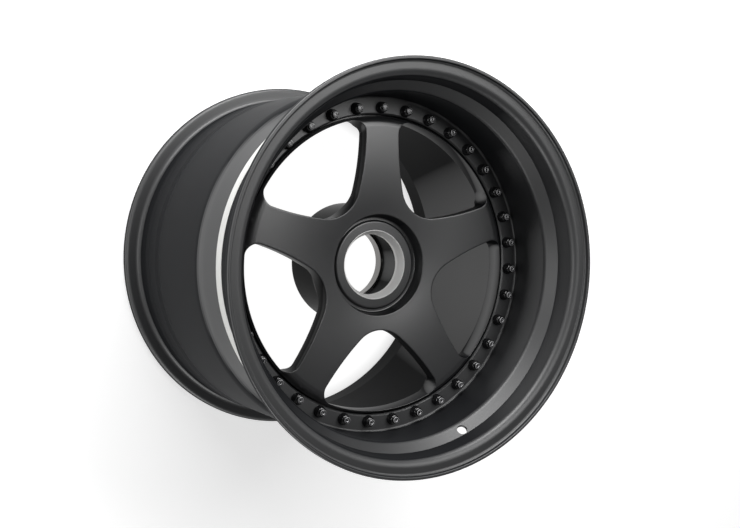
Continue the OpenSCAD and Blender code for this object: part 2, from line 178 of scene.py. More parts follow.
def rounded(corners: Sequence[Corner], step_deg: float = 5.0, support: float = 0.35) -> list[Point]:
    """Rounds a closed outline and keeps its straight stretches flat when shaded smooth.

    Args:
        corners: Corners as x, y and fillet radius.
        step_deg: Turn of each straight step in a fillet, in degrees.
        support: Distance from a fillet's end to the extra point that holds the flat beside it.

    Returns:
        The points of the outline, in the corners' order.
    """
    points: list[Point] = []
    count = len(corners)
    for i, (x, y, radius) in enumerate(corners):
        if radius == 0:
            points.append((x, y))
            continue
        here = Vector((x, y))
        before, after = corners[i - 1], corners[(i + 1) % count]
        edge_a, edge_b = Vector(before[:2]) - here, Vector(after[:2]) - here
        half = edge_a.angle(edge_b) / 2
        room_a = edge_a.length * (0.98 if before[2] == 0 else 0.49)
        room_b = edge_b.length * (0.98 if after[2] == 0 else 0.49)
        run = min(radius / math.tan(half), room_a, room_b)
        u, v = edge_a.normalized(), edge_b.normalized()
        centre = here + (u + v).normalized() * (run / math.cos(half))
        start, end = here + u * run - centre, here + v * run - centre
        turn = math.copysign(math.pi - 2 * half, start.x * end.y - start.y * end.x)
        steps = max(2, math.ceil(abs(math.degrees(turn)) / step_deg))
        for k in range(steps + 1):
            p = centre + Matrix.Rotation(turn * k / steps, 2) @ start
            points.append((p.x, p.y))
    held: list[Point] = []
    for i, p in enumerate(points):
        q = points[(i + 1) % len(points)]
        length = math.hypot(q[0] - p[0], q[1] - p[1])
        held.append(p)
        if length > 4 * support:
            for share in (support / length, 1 - support / length):
                held.append((p[0] + (q[0] - p[0]) * share, p[1] + (q[1] - p[1]) * share))
    return held


def mesh_object(name: str, verts: Iterable[Sequence[float]], faces: Iterable[Sequence[int]]) -> Piece:
    """Makes an object from points in millimetres, with doubles merged and faces pointing outwards.

    Args:
        name: Name of the piece.
        verts: Points in millimetres.
        faces: Point numbers of each face.

    Returns:
        The new object, at the origin and unscaled.
    """
    mesh = bpy.data.meshes.new(name)
    mesh.from_pydata([tuple(c * MM for c in v) for v in verts], [], [tuple(f) for f in faces])
    work = bmesh.new()
    work.from_mesh(mesh)
    bmesh.ops.remove_doubles(work, verts=work.verts, dist=2e-6)
    bmesh.ops.dissolve_degenerate(work, edges=work.edges, dist=1e-7)
    bmesh.ops.recalc_face_normals(work, faces=work.faces)
    work.to_mesh(mesh)
    work.free()
    obj = bpy.data.objects.new(name, mesh)
    bpy.context.scene.collection.objects.link(obj)
    return obj


def shade(obj: Piece, crease_deg: float = 32.0) -> None:
    """Shades a piece smooth, with its edges over an angle kept crisp."""
    obj.data.shade_smooth()
    obj.data.set_sharp_from_angle(angle=math.radians(crease_deg))


def revolve(name: str, outline: Sequence[Point], segments: int) -> Piece:
    """Turns a closed outline of radius and height about the wheel's axis.

    Args:
        name: Name of the piece.
        outline: Points as radius and height.
        segments: Steps round the axis.

    Returns:
        The turned solid. Points on the axis are closed into fans.
    """
    verts: list[Place] = []
    faces: list[tuple[int, ...]] = []
    count = len(outline)
    for k in range(segments):
        angle = 2 * math.pi * k / segments
        c, s = math.cos(angle), math.sin(angle)
        verts.extend((r * c, r * s, z) for r, z in outline)
    for k in range(segments):
        a, b = k * count, ((k + 1) % segments) * count
        for i in range(count):
            j = (i + 1) % count
            if outline[i][0] < 1e-6 and outline[j][0] < 1e-6:
                continue
            faces.append((a + i, a + j, b + j, b + i))
    return mesh_object(name, verts, faces)


def cylinder(radius: float, low: float, high: float, segments: int = 40) -> Piece:
    """A plain closed cylinder on the axis, used only to cut with."""
    return revolve("cutter", [(0.0, low), (radius, low), (radius, high), (0.0, high)], segments)


def move(obj: Piece, matrix: Matrix) -> Piece:
    """Moves a piece's mesh and leaves its object at the origin."""
    obj.data.transform(matrix)
    return obj


def about_axis(angle: float, radius: float = 0.0, height: float = 0.0) -> Matrix:
    """Place at an angle round the axis, in degrees, and at a radius and height in millimetres."""
    return Matrix.Rotation(math.radians(angle), 4, "Z") @ Matrix.Translation((radius * MM, 0.0, height * MM))


def join(name: str, parts: Sequence[Piece]) -> Piece:
    """Joins several meshes into one object and removes the old ones."""
    work = bmesh.new()
    for part in parts:
        work.from_mesh(part.data)
        bpy.data.objects.remove(part)
    mesh = bpy.data.meshes.new(name)
    work.to_mesh(mesh)
    work.free()
    obj = bpy.data.objects.new(name, mesh)
    bpy.context.scene.collection.objects.link(obj)
    return obj


def apply_modifiers(obj: Piece) -> None:
    """Turns a piece with modifiers into the plain mesh that they give."""
    graph = bpy.context.evaluated_depsgraph_get()
    mesh = bpy.data.meshes.new_from_object(obj.evaluated_get(graph), depsgraph=graph)
    obj.modifiers.clear()
    obj.data = mesh


def cut(obj: Piece, cutter: Piece) -> None:
    """Cuts a solid with another, then removes the cutter."""
    modifier = obj.modifiers.new("cut", "BOOLEAN")
    modifier.operation = "DIFFERENCE"
    modifier.solver = "EXACT"
    modifier.object = cutter
    apply_modifiers(obj)
    bpy.data.objects.remove(cutter)


def bolt_angle(index: int) -> float:
    """Angle of a rim bolt about the axis, in degrees, counted from spoke 1."""
    return 90.0 + index * 360.0 / RIM_BOLTS


def bolt_hole_cutter() -> Piece:
    """One cutter with a pin at each of the rim bolts."""
    reach = SIZES.ring_t + SIZES.centre_flange_t + 4
    low, high = SIZES.joint_z - reach, SIZES.joint_z + reach
    places = [about_axis(bolt_angle(i), SIZES.bolt_r) for i in range(RIM_BOLTS)]
    pins = [move(cylinder(SIZES.hole_d / 2, low, high, 24), place) for place in places]
    return join("bolt_hole_cutter", pins)


def finish_piece(
    obj: Piece, material: Material, replaced: Sequence[str]
) -> None:
    """Dresses a piece, rides it on the wheel and reports it.

    Args:
        obj: The piece, already a plain mesh.
        material: Its finish.
        replaced: Names of the solids that the piece stands for.
    """
    obj.data.materials.clear()
    obj.data.materials.append(material)
    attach(obj, BODY)
    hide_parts(*replaced)
    LOG.info("%s: %d faces", obj.name, len(obj.data.polygons))


@dataclass(frozen=True)
class CentreSizes:
    """Sizes of the forged centre, measured behind the joint plane where they are depths."""

    hub_r: float = 70.0
    hub_back: float = 79.0
    pilot_r: float = 41.0
    pilot_w: float = 12.5
    pilot_break: float = 2.0
    relief_r: float = 43.5
    shoulder_r: float = 34.8
    shoulder_t: float = 4.0
    boss_back: float = 6.0
    boss_r: float = 47.6
    pocket_r: float = 39.25
    seat_ring_w: float = 13.0
    groove_r: float = 50.6
    groove_end_r: float = 53.9
    groove_depth: float = 2.6
    recess_r: float = 57.5
    face_end_r: float = 155.5
    face_ahead: float = 11.4
    face_tilt: float = math.tan(math.radians(0.57))
    face_dish_r: float = 975.0
    roll_tilt: float = math.tan(math.radians(8.0))
    hoop_r: float = 166.2
    hoop_ahead: float = 5.8
    spoke_t: float = 17.0
    spoke_t_gain: float = 1.0
    window_outer_r: float = 163.8
    window_inner_r: float = 73.3
    spoke_half_w: float = 21.0
    corner_r: float = 13.0
    side_r: float = 280.0
    parallel_w: float = 1.9
    drive_r: float = 55.5
    pocket_bush_r: float = 9.53
    bush_w: float = 20.0

    def face_at(self, radius: float) -> float:
        """Depth of a spoke's face behind the joint plane."""
        inset = self.face_end_r - radius
        return inset * self.face_tilt + inset * inset / (2 * self.face_dish_r) - self.face_ahead


CENTRE = CentreSizes()


def upright(points: Iterable[Point], zero: float, sign: float) -> list[Point]:
    """Turns points of radius and depth into radius and height."""
    return [(x, zero + sign * y) for x, y in points]


@dataclass(frozen=True)
class OuterSizes:
    """Sizes of the outer half, measured behind its lip where they are depths."""

    edge_depth: float = 31.7
    drop_depth: float = 43.0
    drop_fillet: float = 8.0
    ring_break: float = 1.7
    hump_start: float = 29.5
    hump_end: float = 33.0
    hump_h: float = 2.2
    valve_share: float = 0.4
    valve_r: float = 5.75
    valve_angle: float = -68.9


def build_outer_rim() -> Piece:
    """The outer rim half: flange, bead seat, slope with its valve hole, drop and bolt ring."""
    s, o = SIZES, OuterSizes()
    inner_r, ring_top = s.drop_r - s.drop_wall, s.outer_w - s.ring_t
    edge_r, hump_r = s.under_seat(o.edge_depth), s.seat_at(o.hump_start)
    corners = [
        (s.ring_r, s.outer_w, 0.4),
        (s.ring_r, ring_top + o.ring_break, 0.5),
        (s.ring_r + o.ring_break, ring_top, 0.6),
        (inner_r, ring_top, 2.5),
        (inner_r, o.drop_depth, o.drop_fillet),
        (edge_r, o.edge_depth, 0.8),
        *s.flange(),
        (hump_r, o.hump_start, 2.0),
        (hump_r + o.hump_h, o.hump_end, 2.0),
        (s.drop_r, o.drop_depth + 1.0, 4.0),
        (s.drop_r, s.outer_w - s.joint_break, 0.4),
        (s.drop_r - s.joint_break, s.outer_w, 0.3),
    ]
    rim = revolve("outer_rim_half_look", upright(rounded(corners), s.half_w, -1), RIM_STEPS)
    fall = (edge_r - inner_r) / (o.drop_depth - o.edge_depth)
    run = (o.drop_depth - o.edge_depth) * o.valve_share
    hole = cylinder(o.valve_r, -4 * s.drop_wall, 4 * s.drop_wall, 64)
    move(hole, Matrix.Rotation(math.pi / 2 + math.atan(fall), 4, "Y"))
    move(hole, about_axis(o.valve_angle, edge_r - run * fall, s.half_w - o.edge_depth - run))
    cut(rim, bolt_hole_cutter())
    cut(rim, hole)
    return rim


@dataclass(frozen=True)
class InnerSizes:
    """Sizes of the inner half's barrel, measured from its lip where they are depths."""

    hump_start: float = 30.5
    hump_end: float = 39.5
    hump_h: float = 2.7
    ledge_start: float = 48.5
    ledge_end: float = 71.5
    ledge_h: float = 1.8
    step_run: float = 9.0
    step_h: float = 1.4
    step_fillet: float = 5.0
    shoulder_fillet: float = 45.0


def build_inner_rim() -> Piece:
    """The inner rim half: bolt ring, slope, barrel with its soft steps, bead seat and back flange."""
    s, n = SIZES, InnerSizes()
    inner_r, ring_back = s.barrel_r - s.barrel_wall, s.inner_w - s.ring_t
    slope_foot = s.inner_w - s.step_w
    inner_top = ring_back - (inner_r - s.foot_r) / math.tan(s.slope_angle)
    bend = s.flange_w + (s.seat_r - s.seat_wall - inner_r) / s.seat_taper
    hump_r = s.seat_at(n.hump_start)
    ledge_r = hump_r + n.ledge_h
    corners = [
        (s.ring_r, s.inner_w, 0.4),
        (s.ring_r, ring_back, 0.6),
        (s.foot_r, ring_back, 1.5),
        (inner_r, inner_top, n.step_fillet),
        (inner_r, bend, n.step_fillet),
        *s.flange(),
        (hump_r, n.hump_start, 2.0),
        (hump_r + n.hump_h, n.hump_end, 2.0),
        (ledge_r, n.ledge_start, n.step_fillet),
        (ledge_r, n.ledge_end, n.step_fillet),
        (ledge_r - n.step_h, n.ledge_end + n.step_run, n.step_fillet),
        (s.barrel_r + n.step_h, n.ledge_end + 2 * n.step_run, n.step_fillet),
        (s.barrel_r, slope_foot - s.slope_w, n.shoulder_fillet),
        (s.step_r, slope_foot, 2.0),
        (s.step_r, s.inner_w - s.joint_break, 0.4),
        (s.step_r - s.joint_break, s.inner_w, 0.3),
    ]
    rim = revolve("inner_rim_half_look", upright(rounded(corners), -s.half_w, 1), RIM_STEPS)
    cut(rim, bolt_hole_cutter())
    return rim


def build_sealant() -> Piece:
    """The strip of sealant over the joint, smoothed by hand, turned plain here; only its finish's bump makes the
    surface waver a little.
    """
    s = SIZES
    gap, height, front_w, foot_fillet = 0.05, 0.9, 15.0, 2.0
    back_w = s.step_w - foot_fillet * math.tan(s.slope_angle / 2) - 2 * gap
    front = s.outer_w - front_w
    corners = [
        (s.drop_r + gap, front, 0.0),
        (s.drop_r + gap + height / 3, front, 0.15),
        (s.drop_r + height, front + 3, 1.5),
        (s.drop_r + height, s.outer_w - s.joint_break, 2.0),
        (s.step_r + height + gap, s.outer_w + back_w / 2, 5.0),
        (s.step_r + gap + height / 3, s.outer_w + back_w, 0.2),
        (s.step_r + gap, s.outer_w + back_w, 0.0),
        (s.step_r + gap, s.outer_w + s.joint_break, 0.0),
        (s.step_r - s.joint_break + 3 * gap, s.outer_w + gap, 0.0),
        (s.drop_r - s.joint_break + gap, s.outer_w + gap, 0.0),
        (s.drop_r + gap, s.outer_w - s.joint_break + gap, 0.0),
    ]
    return revolve("joint_sealant_look", upright(rounded(corners), s.half_w, -1), 360)


def build_seat_ring() -> Piece:
    """The steel ring with the cone that the centre nut sits on."""
    c, joint = CENTRE, SIZES.joint_z
    outer_r, bore_r, cone_w, chamfer = 39.2, 34.3, 8.5, 0.6
    back = c.boss_back + c.seat_ring_w
    corners = [
        (outer_r, c.boss_back, 0.35),
        (outer_r, back - chamfer, 0.0),
        (outer_r - chamfer, back, 0.0),
        (bore_r, back, 0.3),
        (bore_r, c.boss_back + cone_w, 0.4),
        (outer_r - chamfer, c.boss_back, 0.15),
    ]
    return revolve("nut_seat_ring_look", upright(rounded(corners, 15.0, 0.2), joint, -1), 192)


def arc_points(centre: Point, radius: float, start: float, end: float, steps: int) -> list[Point]:
    """Points of an arc, with its angles in degrees."""
    turns = [math.radians(start + (end - start) * i / steps) for i in range(steps + 1)]
    return [(centre[0] + radius * math.cos(t), centre[1] + radius * math.sin(t)) for t in turns]


@dataclass
class WheelCentre:
    """Builds the five-spoke centre from one half sector, mirrored and repeated.

    The half sector is drawn with the middle of its spoke along +Y. A guard line runs beside the window's edge, so that
    the faces stay flat up to the rounded edge.
    """

    columns: int = 14
    guard: float = 1.9
    edge_r: float = 0.8
    edge_steps: int = 4
    verts: list[Place] = field(default_factory=list)
    faces: list[tuple[int, ...]] = field(default_factory=list)

    def outline(self, out: float) -> tuple[list[Point], int]:
        """Half of a window's outline, moved into the metal.

        Args:
            out: Distance from the window's wall into the metal.

        Returns:
            The points from the window's inner end to its outer middle, and where the outer arc starts.
        """
        c = CENTRE
        corner_x = c.spoke_half_w + c.corner_r
        reach = c.window_outer_r - c.corner_r
        corner = (corner_x, math.sqrt(reach * reach - corner_x * corner_x))
        side = (c.spoke_half_w + c.side_r, corner[1] - c.parallel_w)
        half = math.radians(HALF_SECTOR)
        reach_end = c.side_r + c.window_inner_r
        along = side[0] * math.sin(half) + side[1] * math.cos(half)
        end_at = (reach_end**2 - side[0] ** 2 - side[1] ** 2) / (2 * (reach_end - along))
        end_r = end_at - c.window_inner_r
        end = (end_at * math.sin(half), end_at * math.cos(half))
        meet = math.degrees(math.atan2(end[1] - side[1], end[0] - side[0]))
        meet += 360.0 if meet < 0 else 0.0
        corner_turn = 90.0 - math.degrees(math.atan2(corner[0], corner[1]))
        points = arc_points(end, end_r + out, 270.0 - HALF_SECTOR, meet, 18)
        points += arc_points(side, c.side_r + out, meet, 180.0, 30)[1:]
        points += arc_points(corner, c.corner_r + out, 180.0, corner_turn, 26)
        start = len(points) - 1
        points += arc_points((0.0, 0.0), c.window_outer_r + out, corner_turn, 90.0 - HALF_SECTOR, 24)[1:]
        return points, start

    def profile(self) -> tuple[list[Point], list[Point], list[Point], list[Point]]:
        """Cuts the turned outline at the guard line.

        Returns:
            Inner part from the back round the hub to the front, front face, outer part from front to back, and back
            face, each as radius and height.
        """
        c, s = CENTRE, SIZES
        foot_run = 1.5 * math.tan((math.pi / 2 - s.slope_angle) / 2)
        flange_r = s.foot_r - foot_run - 0.3
        flange_back = s.ring_t + s.centre_flange_t
        shoulder = c.boss_back + c.seat_ring_w
        pilot_front = c.hub_back - c.pilot_break - c.pilot_w
        roll_run = (c.hoop_r - 0.6 - c.face_end_r) * 0.6
        thick = c.spoke_t + c.spoke_t_gain
        back_r, mid_r = c.window_outer_r - 12.0, c.hub_r + 35.0
        face_start = c.recess_r + 3.0
        face = [face_start + (c.face_end_r - face_start) * i / 30 for i in range(31)]
        corners = [
            (c.pilot_r + c.pilot_break, c.hub_back, 0.5),
            (c.pilot_r, c.hub_back - c.pilot_break, 0.5),
            (c.pilot_r, pilot_front, 0.3),
            (c.relief_r, pilot_front, 0.3),
            (c.relief_r, shoulder + c.shoulder_t, 4.0),
            (c.shoulder_r, shoulder + c.shoulder_t, 0.4),
            (c.shoulder_r, shoulder, 0.3),
            (c.pocket_r, shoulder, 0.3),
            (c.pocket_r, c.boss_back, 0.35),
            (c.boss_r + 1.4, c.boss_back, 2.2),
            (c.groove_r, c.boss_back + c.groove_depth, 0.8),
            (c.groove_end_r, c.boss_back + c.groove_depth, 1.5),
            (c.recess_r - 0.6, c.face_at(c.recess_r), 1.2),
            *[(r, c.face_at(r), 0.0) for r in face],
            (c.face_end_r + roll_run, roll_run * c.roll_tilt - c.face_ahead, 15.0),
            (c.hoop_r - 0.6, -c.hoop_ahead, 0.5),
            (c.hoop_r, 0.6 - c.hoop_ahead, 0.4),
            (c.hoop_r, s.ring_t, 0.4),
            (flange_r - 0.6, s.ring_t, 0.3),
            (flange_r, s.ring_t + 0.6, 0.3),
            (flange_r, flange_back, 1.2),
            (c.window_outer_r - 6.0, flange_back, 2.0),
            (back_r, c.face_at(back_r) + c.spoke_t, 10.0),
            (mid_r, c.face_at(mid_r) + thick, 20.0),
            (c.hub_r, c.face_at(c.hub_r) + thick, 30.0),
            (c.hub_r, c.hub_back, 1.2),
        ]
        points = upright(rounded(corners, 4.0, 0.5), s.joint_z, -1)
        low, high = c.window_inner_r - self.guard, c.window_outer_r + self.guard
        outer_low = self._crossing(points, low, rising=True)
        outer_high = self._crossing(points, high, rising=True)
        back_high = self._crossing(points, high, rising=False)
        back_low = self._crossing(points, low, rising=False)
        front = self._between(points, outer_low, outer_high)
        outer = self._between(points, outer_high, back_high)
        back = self._between(points, back_high, back_low)
        inner = self._between(points, back_low, outer_low + len(points))
        return inner, front, outer, back

    @staticmethod
    def _crossing(points: Sequence[Point], radius: float, rising: bool) -> float:
        """Place along a closed outline where it crosses a radius, as a point number with a fraction."""
        found = []
        for i, p in enumerate(points):
            q = points[(i + 1) % len(points)]
            if (rising and p[0] <= radius < q[0]) or (not rising and p[0] > radius >= q[0]):
                found.append(i + (radius - p[0]) / (q[0] - p[0]))
        return found[0] if rising else found[-1]

    @staticmethod
    def _between(points: Sequence[Point], start: float, end: float) -> list[Point]:
        """Part of a closed outline between two places on it."""
        count = len(points)

        def at(place: float) -> Point:
            """Point at a place along the outline."""
            i, share = int(place), place - int(place)
            p, q = points[i % count], points[(i + 1) % count]
            return (p[0] + (q[0] - p[0]) * share, p[1] + (q[1] - p[1]) * share)

        middle = [points[i % count] for i in range(int(start) + 1, int(math.ceil(end)))]
        return [at(start), *middle, at(end)]

    def _grid(self, rows: Sequence[Sequence[Place]]) -> None:
        """Adds a grid of faces over rows of points."""
        base, width = len(self.verts), len(rows[0])
        for row in rows:
            self.verts.extend(row)
        for j in range(len(rows) - 1):
            for i in range(width - 1):
                a = base + j * width + i
                self.faces.append((a, a + 1, a + width + 1, a + width))

    def _turned(self, outline: Sequence[Point], angles: Sequence[float]) -> None:
        """Adds a turned stretch over the angles, measured from the spoke's middle line."""
        rows = [[(r * math.sin(t), r * math.cos(t), z) for t in angles] for r, z in outline]
        self._grid(rows)

    def _face(self, profile: Sequence[Point], line: Sequence[Point]) -> None:
        """Adds the face of half a spoke between its middle line and the guard line."""
        rows = []
        for x, y in line:
            radius, end = math.hypot(x, y), math.atan2(x, y)
            z = self._height(profile, radius)
            turns = [end * i / self.columns for i in range(self.columns + 1)]
            rows.append([(radius * math.sin(t), radius * math.cos(t), z) for t in turns])
        self._grid(rows)

    @staticmethod
    def _height(profile: Sequence[Point], radius: float) -> float:
        """Height of a face at a radius."""
        ordered = sorted(profile)
        return float(np.interp(radius, [p[0] for p in ordered], [p[1] for p in ordered]))

    def _window_wall(self, front: Sequence[Point], back: Sequence[Point]) -> None:
        """Adds the rounded edges and the wall of half a window, between the two guard lines."""
        steps = [math.pi / 2 * i / self.edge_steps for i in range(self.edge_steps + 1)]
        round_off = [(self.edge_r * (1 - math.sin(t)), self.edge_r * (1 - math.cos(t))) for t in steps]
        rows = []
        held = (self.guard, 0.0)
        for profile, sign, order in ((front, -1, [held, *round_off]), (back, 1, [*reversed(round_off), held])):
            for out, drop in order:
                points, _ = self.outline(out)
                rows.append([(x, y, self._height(profile, math.hypot(x, y)) + sign * drop) for x, y in points])
        self._grid(rows)

    def build(self) -> Piece:
        """Builds the whole centre with its bolt holes and bush pockets.

        Returns:
            The solid, at the origin.
        """
        c, s = CENTRE, SIZES
        inner, front, outer, back = self.profile()
        line, start = self.outline(self.guard)
        sector = math.radians(HALF_SECTOR)
        full = [sector * i / self.columns for i in range(self.columns + 1)]
        corner = math.atan2(line[start][0], line[start][1])
        ends = [corner * i / self.columns for i in range(self.columns + 1)]
        ends += [math.atan2(x, y) for x, y in line[start + 1 :]]
        self._turned(inner, full)
        self._turned(outer, ends)
        self._face(front, line[: start + 1])
        self._face(back, line[: start + 1])
        self._window_wall(front, back)
        verts, faces = [], []
        for k in range(GROUPS):
            turn = math.radians(2 * HALF_SECTOR * k)
            cos, sin = math.cos(turn), math.sin(turn)
            for side in (1, -1):
                base = len(verts)
                verts.extend((side * x * cos - y * sin, side * x * sin + y * cos, z) for x, y, z in self.verts)
                faces.extend(tuple(base + i for i in f) for f in self.faces)
        centre = mesh_object("wheel_centre_look", verts, faces)
        cut(centre, bolt_hole_cutter())
        low, high = s.joint_z - c.hub_back - 2, s.joint_z - c.hub_back + c.bush_w
        places = [about_axis(90.0 + 2 * HALF_SECTOR * k, c.drive_r) for k in range(GROUPS)]
        pockets = [move(cylinder(c.pocket_bush_r, low, high, 48), place) for place in places]
        cut(centre, join("pocket_cutter", pockets))
        return centre


@dataclass(frozen=True)
class FastenerSizes:
    """Sizes of one rim bolt with its nut and washer."""

    nut_r: float = 6.7
    nut_bore_r: float = 3.6
    nut_top_r: float = 4.5
    nut_h: float = 8.0
    tip_ahead: float = 3.0
    dimple_r: float = 1.95
    dimple_depth: float = 1.0
    washer_r: float = 6.2
    washer_t: float = 1.2
    flange_t: float = 1.5
    head_r: float = 4.5
    head_h: float = 7.0
    head_points: int = 12

    @property
    def washer_low(self) -> float:
        """Height of the washer's free face below the joint plane."""
        return -(SIZES.ring_t + SIZES.centre_flange_t) - SIZES.film - self.washer_t


FASTENER = FastenerSizes()


def build_nut() -> Piece:
    """One domed nut, with the joint plane as its zero height."""
    f = FASTENER
    seat = SIZES.ring_t + SIZES.film
    top = seat + f.nut_h
    corners = [
        (f.nut_bore_r, seat, 0.0),
        (f.nut_r, seat, 0.0),
        (f.nut_r, seat + 1.2, 0.6),
        (f.nut_r - 0.6, seat + f.nut_h / 2, f.nut_h / 2),
        (f.nut_top_r + 0.6, top - 0.6, f.nut_h / 4),
        (f.nut_top_r - 0.6, top, 0.3),
        (f.nut_bore_r, top, 0.2),
    ]
    return revolve("nut_piece", rounded(corners, 8.0, 0.3), 48)


def build_bolt() -> Piece:
    """One bolt with its plain shank, dimpled tip, round flange and twelve-point head."""
    f, shank_r, seat = FASTENER, SIZES.bolt_d / 2, FASTENER.washer_low
    tip = SIZES.ring_t + SIZES.film + f.nut_h + f.tip_ahead
    shank = [
        (0.0, seat - 0.6),
        (shank_r, seat - 0.6),
        (shank_r, tip - 0.7),
        (shank_r - 0.2, tip - 0.2),
        (shank_r - 0.6, tip),
        (f.dimple_r, tip),
        (f.dimple_r - f.dimple_depth, tip - f.dimple_depth),
        (0.0, tip - f.dimple_depth),
    ]
    back, rim = seat - f.flange_t, f.washer_r
    flange = [(0.0, back), (rim - 0.2, back), (rim, back + 0.2), (rim, seat - 0.2), (rim - 0.2, seat), (0.0, seat)]
    pieces = [revolve("shank", shank, 40), revolve("flange", flange, 48)]
    count = 2 * f.head_points
    points = []
    for i in range(count):
        angle = 2 * math.pi * i / count
        radius = f.head_r / math.cos(math.radians((30, 15)[i % 2]))
        points.append((radius * math.cos(angle), radius * math.sin(angle)))
    low, high = seat - f.head_h, seat - f.flange_t + 0.1
    verts = [(x * k, y * k, z) for z, k in ((low, 0.93), (low + 0.5, 1.0), (high, 1.0)) for x, y in points]
    faces: list[tuple[int, ...]] = [tuple(range(count)), tuple(range(2 * count, 3 * count))]
    for row in (0, count):
        for i in range(count):
            a, b = row + i, row + (i + 1) % count
            faces.append((a, b, b + count, a + count))
    pieces.append(mesh_object("head", verts, faces))
    return join("bolt_piece", pieces)


def build_washer() -> Piece:
    """One flat washer."""
    bore, rim, low = SIZES.hole_d / 2, FASTENER.washer_r, FASTENER.washer_low
    high = low + FASTENER.washer_t
    corners = [(bore, low, 0.15), (rim, low, 0.25), (rim, high, 0.25), (bore, high, 0.15)]
    return revolve("washer_piece", rounded(corners, 30.0, 0.2), 48)


@dataclass
class Graph:
    """Adds and links nodes in one tree, so that a finish reads as a list of steps."""

    tree: Tree

    def add(self, kind: str, **settings: object) -> Node:
        """Adds a node and sets its properties."""
        node = self.tree.nodes.new(kind)
        for name, value in settings.items():
            setattr(node, name, value)
        return node

    def feed(self, socket: Socket, value: object) -> None:
        """Gives a socket a link or a plain value."""
        if isinstance(value, Socket):
            self.tree.links.new(value, socket)
        else:
            socket.default_value = value

    def fill(self, node: Node, values: dict[str | int, object]) -> Node:
        """Feeds several sockets of a node, by name or by number, and gives the node back."""
        for name, value in values.items():
            self.feed(node.inputs[name], value)
        return node

    def math(self, operation: str, *values: object) -> Socket:
        """A Math node over links or numbers."""
        node = self.add("ShaderNodeMath", operation=operation)
        for socket, value in zip(node.inputs, values):
            self.feed(socket, value)
        return node.outputs[0]

    def spread(self, value: object, low: float, high: float, to_low: object, to_high: object) -> Socket:
        """A clamped Map Range from one span of values to another."""
        node = self.add("ShaderNodeMapRange")
        limits = {"From Min": low, "From Max": high, "To Min": to_low, "To Max": to_high}
        return self.fill(node, {"Value": value, **limits}).outputs["Result"]

    def noise(self, vector: object, scale: object, detail: float = 2.0, rough: float = 0.5) -> Socket:
        """Value of a noise texture."""
        node = self.add("ShaderNodeTexNoise")
        self.fill(node, {"Vector": vector, "Scale": scale, "Detail": detail, "Roughness": rough})
        return node.outputs["Fac"]

    def mixed(self, share: object, first: object, second: object) -> Socket:
        """A blend of two colours."""
        node = self.add("ShaderNodeMix", data_type="RGBA")
        return self.fill(node, {0: share, 6: first, 7: second}).outputs[2]

    def polar(self, vector: object) -> tuple[Socket, Socket]:
        """Distance of a place from the wheel's axis, and its height."""
        parts = self.fill(self.add("ShaderNodeSeparateXYZ"), {0: vector}).outputs
        flat = self.fill(self.add("ShaderNodeCombineXYZ"), {0: parts[0], 1: parts[1]})
        radius = self.fill(self.add("ShaderNodeVectorMath", operation="LENGTH"), {0: flat.outputs[0]})
        return radius.outputs["Value"], parts[2]

    def bumped(self, height: object, distance: object) -> Socket:
        """A normal from a height."""
        return self.fill(self.add("ShaderNodeBump"), {"Height": height, "Distance": distance}).outputs["Normal"]


def effect(
    name: str, inputs: Sequence[tuple[str, str, object]], outputs: Sequence[tuple[str, str]]
) -> tuple[Graph, Node, Node]:
    """Starts a shader node group that several finishes share.

    Args:
        name: Name of the group.
        inputs: Name, kind and first value of each input.
        outputs: Name and kind of each output.

    Returns:
        The group's graph and its input and output nodes.
    """
    tree = bpy.data.node_groups.new(name, "ShaderNodeTree")
    for label, kind, value in inputs:
        socket = tree.interface.new_socket(label, in_out="INPUT", socket_type=kind)
        if value is not None:
            socket.default_value = value
    for label, kind in outputs:
        tree.interface.new_socket(label, in_out="OUTPUT", socket_type=kind)
    graph = Graph(tree)
    return graph, graph.add("NodeGroupInput"), graph.add("NodeGroupOutput")


def coat_grain() -> Tree:
    """Fine skin of a sprayed and baked coat: slow drift of tone, orange peel and a fine grit.

    Returns:
        A group with a tone, a gloss change and a normal.
    """
    graph, given, out = effect(
        "coat_grain",
        [
            ("Vector", "NodeSocketVector", None),
            ("Peel scale", "NodeSocketFloat", 900.0),
            ("Grit scale", "NodeSocketFloat", 4200.0),
            ("Height", "NodeSocketFloat", 0.00001),
        ],
        [("Tone", "NodeSocketFloat"), ("Gloss", "NodeSocketFloat"), ("Normal", "NodeSocketVector")],
    )
    vector = given.outputs["Vector"]
    drift = graph.noise(vector, 9.0, 3.0, 0.6)
    peel = graph.noise(vector, given.outputs["Peel scale"], 2.0, 0.5)
    grit = graph.noise(vector, given.outputs["Grit scale"], 1.0, 0.5)
    skin = graph.math("MULTIPLY_ADD", grit, 0.5, peel)
    graph.feed(out.inputs["Tone"], graph.math("MULTIPLY_ADD", grit, 0.5, graph.math("MULTIPLY", drift, 0.5)))
    graph.feed(out.inputs["Gloss"], graph.math("MULTIPLY_ADD", peel, 0.35, graph.math("MULTIPLY", drift, 0.65)))
    graph.feed(out.inputs["Normal"], graph.bumped(skin, given.outputs["Height"]))
    return graph.tree


